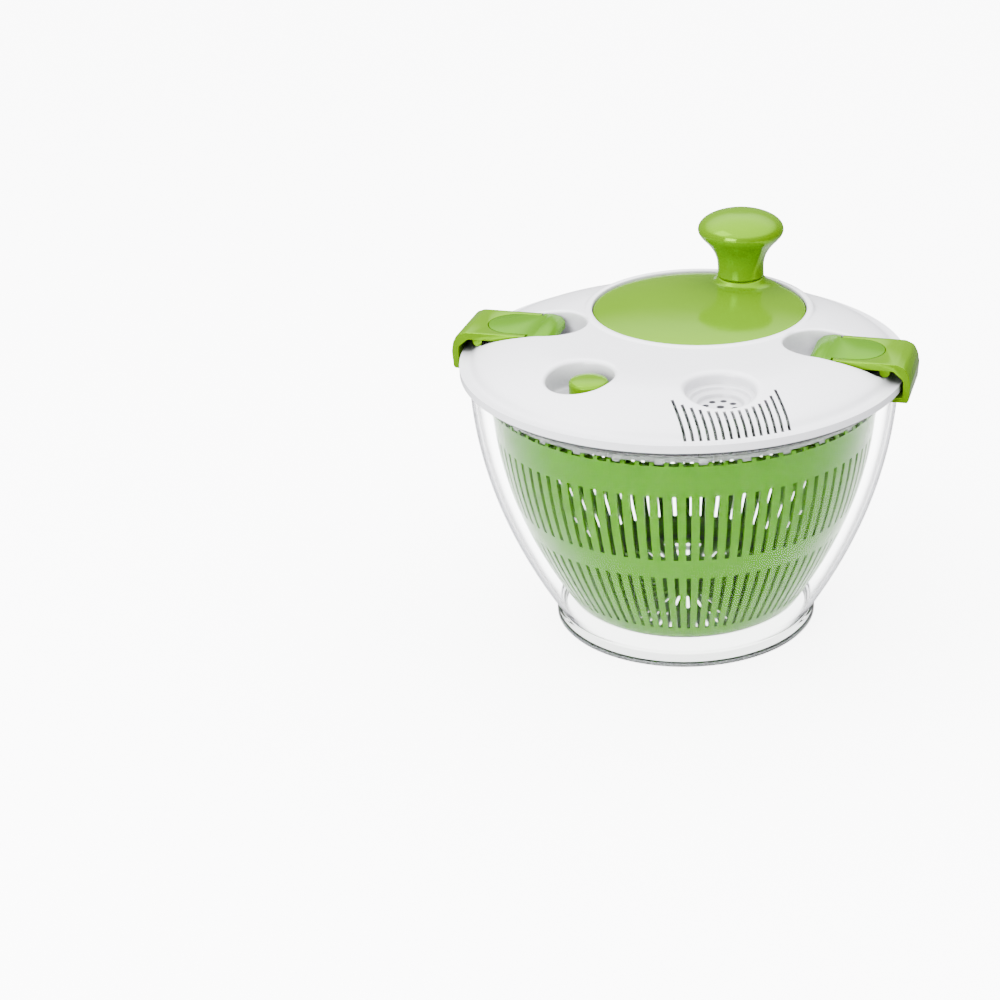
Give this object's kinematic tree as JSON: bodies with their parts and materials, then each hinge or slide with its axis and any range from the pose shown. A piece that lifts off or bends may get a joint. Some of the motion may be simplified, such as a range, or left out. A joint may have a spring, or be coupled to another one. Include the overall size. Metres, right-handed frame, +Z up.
{
  "type": "salad spinner",
  "caption": "Clear bowl with a slotted draining basket that spins on a pivot, driven by a geared crank disc and knob in a latching lid with a brake button and a water inlet.",
  "frame": {"origin": "centre of the foot, on the surface the spinner stands on", "axes": "+Z up, +X towards the right-hand latch, -Y towards the side with the water inlet and brake"},
  "size_m": [0.2612, 0.252, 0.2208],
  "materials": {
    "clear_bowl": "clear",
    "clear_plate": "clear",
    "basket_green": "translucent",
    "green_gloss": "gloss",
    "white_gloss": "gloss",
    "acetal": "satin",
    "brake_rubber": "matte",
    "grip": "satin",
    "steel": "satin"
  },
  "bodies": {
    "bowl": {"bowl": "clear_bowl", "base_grip_ring": "grip"},
    "basket": {"basket": "basket_green"},
    "lid": {"lid_cover": "white_gloss", "gear_housing": "white_gloss", "housing_screws": "steel", "crank_bush": "acetal", "drive_bush": "acetal", "latch_pin_right": "steel", "latch_spring_right": "steel", "latch_pin_left": "steel", "latch_spring_left": "steel", "brake_spring": "steel"},
    "crank": {"crank_disc": "green_gloss", "ring_gear": "acetal", "disc_screws": "steel", "crank_axle": "steel", "crank_washer": "steel", "crank_screw": "steel", "knob_spindle": "acetal", "knob_screw": "steel"},
    "knob": {"knob": "green_gloss"},
    "drive": {"drive_pinion": "acetal", "drive_plate": "clear_plate", "drive_screw": "steel"},
    "brake": {"brake_button": "green_gloss", "brake_stem": "acetal", "brake_pad": "brake_rubber", "brake_clip": "steel"},
    "latch_right": {"latch_hook_right": "green_gloss", "latch_pad_right": "green_gloss"},
    "latch_left": {"latch_hook_left": "green_gloss", "latch_pad_left": "green_gloss"}
  },
  "joints": [
    {"name": "lid_lift", "type": "slide", "parent": "bowl", "child": "lid", "axis": [0, 0, 1], "range_m": [0, 0.15]},
    {"name": "crank_spin", "type": "hinge", "parent": "lid", "child": "crank", "pos_m": [0, 0.0405, 0.17], "axis": [0, 0, 1], "continuous": true},
    {"name": "knob_spin", "type": "hinge", "parent": "crank", "child": "knob", "pos_m": [0.01569, 0.08268, 0.18], "axis": [0, 0, 1], "continuous": true},
    {"name": "drive_spin", "type": "hinge", "parent": "lid", "child": "drive", "pos_m": [0, 0, 0.15], "axis": [0, 0, 1], "continuous": true},
    {"name": "basket_spin", "type": "hinge", "parent": "bowl", "child": "basket", "pos_m": [0, 0, 0.017], "axis": [0, 0, 1], "continuous": true},
    {"name": "brake_press", "type": "slide", "parent": "lid", "child": "brake", "axis": [0, 0, 1], "range_m": [-0.0033, 0], "stiffness_N_per_m": 600, "springref_m": 0.004, "deforming": ["brake_spring"]},
    {"name": "latch_right_swing", "type": "hinge", "parent": "lid", "child": "latch_right", "pos_m": [0.116, 0, 0.1639], "axis": [0, -1, 0], "range_deg": [0, 11], "stiffness_Nm_per_rad": 1, "springref_deg": -5.73},
    {"name": "latch_left_swing", "type": "hinge", "parent": "lid", "child": "latch_left", "pos_m": [-0.116, 0, 0.1639], "axis": [0, 1, 0], "range_deg": [0, 11], "stiffness_Nm_per_rad": 1, "springref_deg": -5.73}
  ],
  "couplings": [
    {"joint": "drive_spin", "follows": "crank_spin", "ratio": 4},
    {"joint": "basket_spin", "follows": "crank_spin", "ratio": 4}
  ]
}
